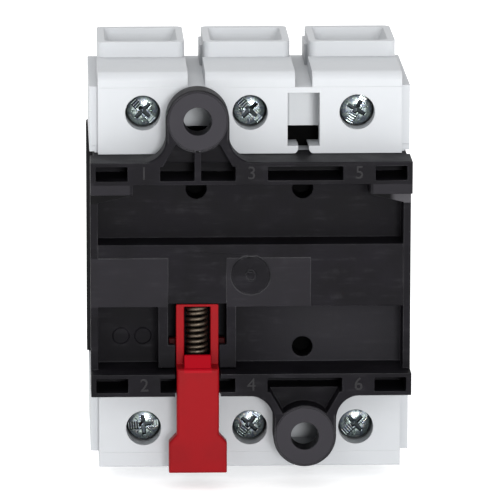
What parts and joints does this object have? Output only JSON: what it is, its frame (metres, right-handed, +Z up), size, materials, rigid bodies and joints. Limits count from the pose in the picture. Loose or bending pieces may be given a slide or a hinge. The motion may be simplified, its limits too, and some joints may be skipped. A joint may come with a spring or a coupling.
{
  "type": "fuse switch disconnector",
  "caption": "Rail-mounted switchgear block with a black clip-on base, light grey wire funnels, a red rail clip and a hinged front carrier that draws the fuses out of their jaws.",
  "frame": {"origin": "middle of the moulding gate on the base, on the plane where the rail rests", "axes": "+X across the poles, +Y from the rail towards the operator, +Z up towards the supply side"},
  "size_m": [0.0614, 0.058, 0.0822],
  "materials": {
    "base_black": "fine satin grain",
    "clip_red": "satin",
    "spring_steel": "oil tempered, dark bronze",
    "housing_grey": "fine satin grain",
    "block_black": "satin",
    "frame_black": "fine satin grain",
    "carrier_grey": "fine satin grain",
    "pin_steel": "ground",
    "cage_steel": "zinc plated",
    "screw_zinc": "zinc plated, passivated",
    "contact_copper": "tin plated copper",
    "jaw_steel": "spring steel",
    "fuse_ceramic": "glazed ceramic",
    "cap_silver": "nickel plated brass",
    "pane_clear": "clear polycarbonate"
  },
  "bodies": {
    "housing_body": {"rear_base": "base_black", "clip_spring": "spring_steel", "housing": "housing_grey", "contact_block": "block_black", "front_frame": "frame_black", "hinge_pin_left": "pin_steel", "hinge_pin_right": "pin_steel", "clamp_cage_1": "cage_steel", "clamp_cage_2": "cage_steel", "clamp_cage_3": "cage_steel", "clamp_cage_4": "cage_steel", "clamp_cage_5": "cage_steel", "clamp_cage_6": "cage_steel", "contact_1": "contact_copper", "contact_2": "contact_copper", "contact_3": "contact_copper", "contact_4": "contact_copper", "contact_5": "contact_copper", "contact_6": "contact_copper", "jaw_spring_1": "jaw_steel", "jaw_spring_2": "jaw_steel", "jaw_spring_3": "jaw_steel", "jaw_spring_4": "jaw_steel", "jaw_spring_5": "jaw_steel", "jaw_spring_6": "jaw_steel"},
    "rail_clip_body": {"rail_clip": "clip_red"},
    "carrier_body": {"fuse_carrier": "carrier_grey", "fuse_tube_1": "fuse_ceramic", "fuse_caps_1": "cap_silver", "carrier_clip_1": "jaw_steel", "window_1": "pane_clear", "fuse_tube_2": "fuse_ceramic", "fuse_caps_2": "cap_silver", "carrier_clip_2": "jaw_steel", "window_2": "pane_clear", "fuse_tube_3": "fuse_ceramic", "fuse_caps_3": "cap_silver", "carrier_clip_3": "jaw_steel", "window_3": "pane_clear"},
    "clamp_1_body": {"terminal_screw_1": "screw_zinc", "pressure_plate_1": "cage_steel"},
    "clamp_2_body": {"terminal_screw_2": "screw_zinc", "pressure_plate_2": "cage_steel"},
    "clamp_3_body": {"terminal_screw_3": "screw_zinc", "pressure_plate_3": "cage_steel"},
    "clamp_4_body": {"terminal_screw_4": "screw_zinc", "pressure_plate_4": "cage_steel"},
    "clamp_5_body": {"terminal_screw_5": "screw_zinc", "pressure_plate_5": "cage_steel"},
    "clamp_6_body": {"terminal_screw_6": "screw_zinc", "pressure_plate_6": "cage_steel"}
  },
  "joints": [
    {"name": "rail_clip_slide", "type": "slide", "parent": "housing_body", "child": "rail_clip_body", "axis": [0, 0, 1], "range_m": [-0.003, 0], "stiffness_N_per_m": 1500, "springref_m": 0.003, "deforming": ["clip_spring"]},
    {"name": "carrier_hinge", "type": "hinge", "parent": "housing_body", "child": "carrier_body", "pos_m": [0, 0.0465, -0.0205], "axis": [-1, 0, 0], "range_deg": [0, 80]},
    {"name": "clamp_1_slide", "type": "slide", "parent": "housing_body", "child": "clamp_1_body", "axis": [0, 1, 0], "range_m": [0, 0.007]},
    {"name": "clamp_2_slide", "type": "slide", "parent": "housing_body", "child": "clamp_2_body", "axis": [0, 1, 0], "range_m": [0, 0.007]},
    {"name": "clamp_3_slide", "type": "slide", "parent": "housing_body", "child": "clamp_3_body", "axis": [0, 1, 0], "range_m": [0, 0.007]},
    {"name": "clamp_4_slide", "type": "slide", "parent": "housing_body", "child": "clamp_4_body", "axis": [0, 1, 0], "range_m": [0, 0.007]},
    {"name": "clamp_5_slide", "type": "slide", "parent": "housing_body", "child": "clamp_5_body", "axis": [0, 1, 0], "range_m": [0, 0.007]},
    {"name": "clamp_6_slide", "type": "slide", "parent": "housing_body", "child": "clamp_6_body", "axis": [0, 1, 0], "range_m": [0, 0.007]}
  ]
}
